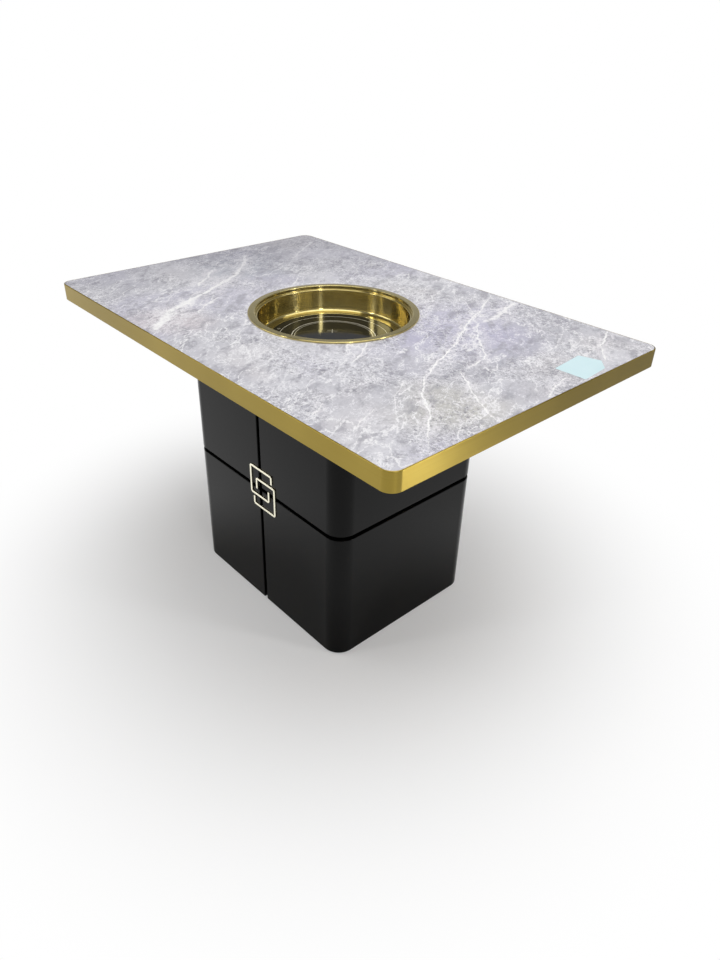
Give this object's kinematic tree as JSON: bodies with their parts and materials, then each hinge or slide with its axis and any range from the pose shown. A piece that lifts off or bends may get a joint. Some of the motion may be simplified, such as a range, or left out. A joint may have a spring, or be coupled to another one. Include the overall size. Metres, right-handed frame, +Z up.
{
  "type": "hot pot table",
  "caption": "Rectangular hot pot table: marble-look top in a gold edge band, sunken brass well with a drop-in induction cooker, black box base with a fret ornament and a rear service door.",
  "frame": {"origin": "on the floor, under the middle of the table top", "axes": "+Z up, +X along the long side, -Y out of the face with the fret ornament; the service door is at +Y"},
  "size_m": [1.2, 0.8, 0.7541],
  "materials": {
    "stone": "polished grey marble look with pale veins",
    "plywood": "bare birch plywood",
    "dark_board": "stained black",
    "brushed_gold": "brushed along its length",
    "polished_brass": "polished",
    "black_lacquer": "satin black lacquer",
    "black_glass": "polished, opaque",
    "dark_plastic": "matt",
    "grey_plastic": "matt",
    "rubber": "matt",
    "plated_steel": "plated",
    "bare_aluminium": "bare",
    "copper": "enamelled copper wire",
    "ferrite": "sintered",
    "circuit_board": "solder resist"
  },
  "bodies": {
    "table_frame": {"stone_top": "stone", "core_board": "plywood", "edge_band": "brushed_gold", "upper_shell_left": "black_lacquer", "upper_shell_right": "black_lacquer", "lower_shell_left": "black_lacquer", "lower_shell_right": "black_lacquer", "waist_rail": "dark_board", "front_batten_lower": "dark_board", "front_batten_upper": "dark_board", "back_batten_upper": "dark_board", "base_top_plate": "plywood", "bottom_plate": "plywood", "corner_post_front_left": "plywood", "corner_post_front_right": "plywood", "corner_post_back_left": "plywood", "corner_post_back_right": "plywood", "foot_nut_1": "plated_steel", "foot_nut_2": "plated_steel", "foot_nut_3": "plated_steel", "foot_nut_4": "plated_steel", "hinge_lower_frame_leaf": "plated_steel", "hinge_upper_frame_leaf": "plated_steel", "hinge_lower_pin": "plated_steel", "hinge_upper_pin": "plated_steel", "magnetic_catch": "dark_plastic", "fret_hook_upper": "brushed_gold", "fret_hook_lower": "brushed_gold"},
    "well": {"well_wall": "polished_brass", "well_pan": "polished_brass", "well_gasket": "rubber"},
    "cooker": {"cooker_glass": "black_glass", "cooker_housing": "dark_plastic", "coil_tray": "grey_plastic", "induction_coil": "copper", "heat_sensor": "grey_plastic", "ferrite_bar_1": "ferrite", "ferrite_bar_2": "ferrite", "ferrite_bar_3": "ferrite", "ferrite_bar_4": "ferrite", "ferrite_bar_5": "ferrite", "ferrite_bar_6": "ferrite", "fan_frame": "dark_plastic", "power_board": "circuit_board", "heat_sink": "bare_aluminium", "filter_capacitor": "grey_plastic", "power_choke": "copper", "cable_gland": "dark_plastic"},
    "fan": {"fan_rotor": "dark_plastic"},
    "door": {"service_door": "black_lacquer", "hinge_lower_door_leaf": "plated_steel", "hinge_upper_door_leaf": "plated_steel", "catch_strike": "plated_steel"},
    "foot_1": {"levelling_foot_1": "rubber"},
    "foot_2": {"levelling_foot_2": "rubber"},
    "foot_3": {"levelling_foot_3": "rubber"},
    "foot_4": {"levelling_foot_4": "rubber"}
  },
  "joints": [
    {"name": "well_lift", "type": "slide", "parent": "table_frame", "child": "well", "axis": [0, 0, 1], "range_m": [0, 0.16]},
    {"name": "cooker_lift", "type": "slide", "parent": "well", "child": "cooker", "axis": [0, 0, 1], "range_m": [0, 0.16]},
    {"name": "fan_spin", "type": "hinge", "parent": "cooker", "child": "fan", "pos_m": [-0.062, 0, 0.64], "axis": [0, 0, 1], "continuous": true},
    {"name": "door_swing", "type": "hinge", "parent": "table_frame", "child": "door", "pos_m": [-0.2015, 0.2345, 0.18], "axis": [0, 0, 1], "range_deg": [0, 105]},
    {"name": "foot_1_turn", "type": "hinge", "parent": "table_frame", "child": "foot_1", "pos_m": [-0.195, -0.135, 0.02], "axis": [0, 0, 1], "continuous": true},
    {"name": "foot_2_turn", "type": "hinge", "parent": "table_frame", "child": "foot_2", "pos_m": [0.195, -0.135, 0.02], "axis": [0, 0, 1], "continuous": true},
    {"name": "foot_3_turn", "type": "hinge", "parent": "table_frame", "child": "foot_3", "pos_m": [0.195, 0.135, 0.02], "axis": [0, 0, 1], "continuous": true},
    {"name": "foot_4_turn", "type": "hinge", "parent": "table_frame", "child": "foot_4", "pos_m": [-0.195, 0.135, 0.02], "axis": [0, 0, 1], "continuous": true}
  ]
}
